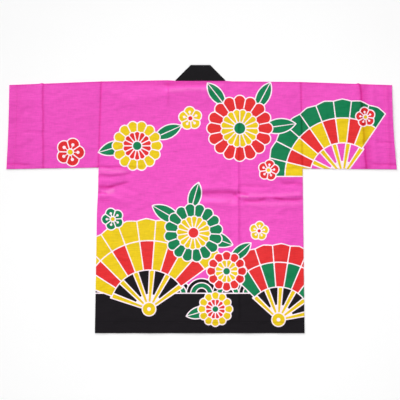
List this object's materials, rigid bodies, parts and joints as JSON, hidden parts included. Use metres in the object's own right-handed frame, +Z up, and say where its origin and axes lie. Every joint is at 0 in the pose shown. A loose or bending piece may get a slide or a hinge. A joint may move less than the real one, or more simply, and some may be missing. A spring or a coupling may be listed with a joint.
{
  "type": "happi coat laid flat, back up",
  "caption": "Straight-cut short coat with wide open sleeves and a folded collar band, laid flat with its back upwards.",
  "frame": {"origin": "on the surface the coat lies on, under the middle of its outline", "axes": "+Z up out of the coat's back, +Y towards the collar, +X towards the wearer's right sleeve"},
  "size_m": [1.249, 0.8582, 0.0079],
  "materials": {
    "body_cotton": "pink plain-weave slub cotton, screen printed on its face",
    "collar_cotton": "black plain-weave cotton, folded double"
  },
  "bodies": {
    "root": {"back": "body_cotton", "front_left": "body_cotton", "front_right": "body_cotton", "sleeve_left": "body_cotton", "sleeve_right": "body_cotton", "collar": "collar_cotton"}
  },
  "joints": []
}
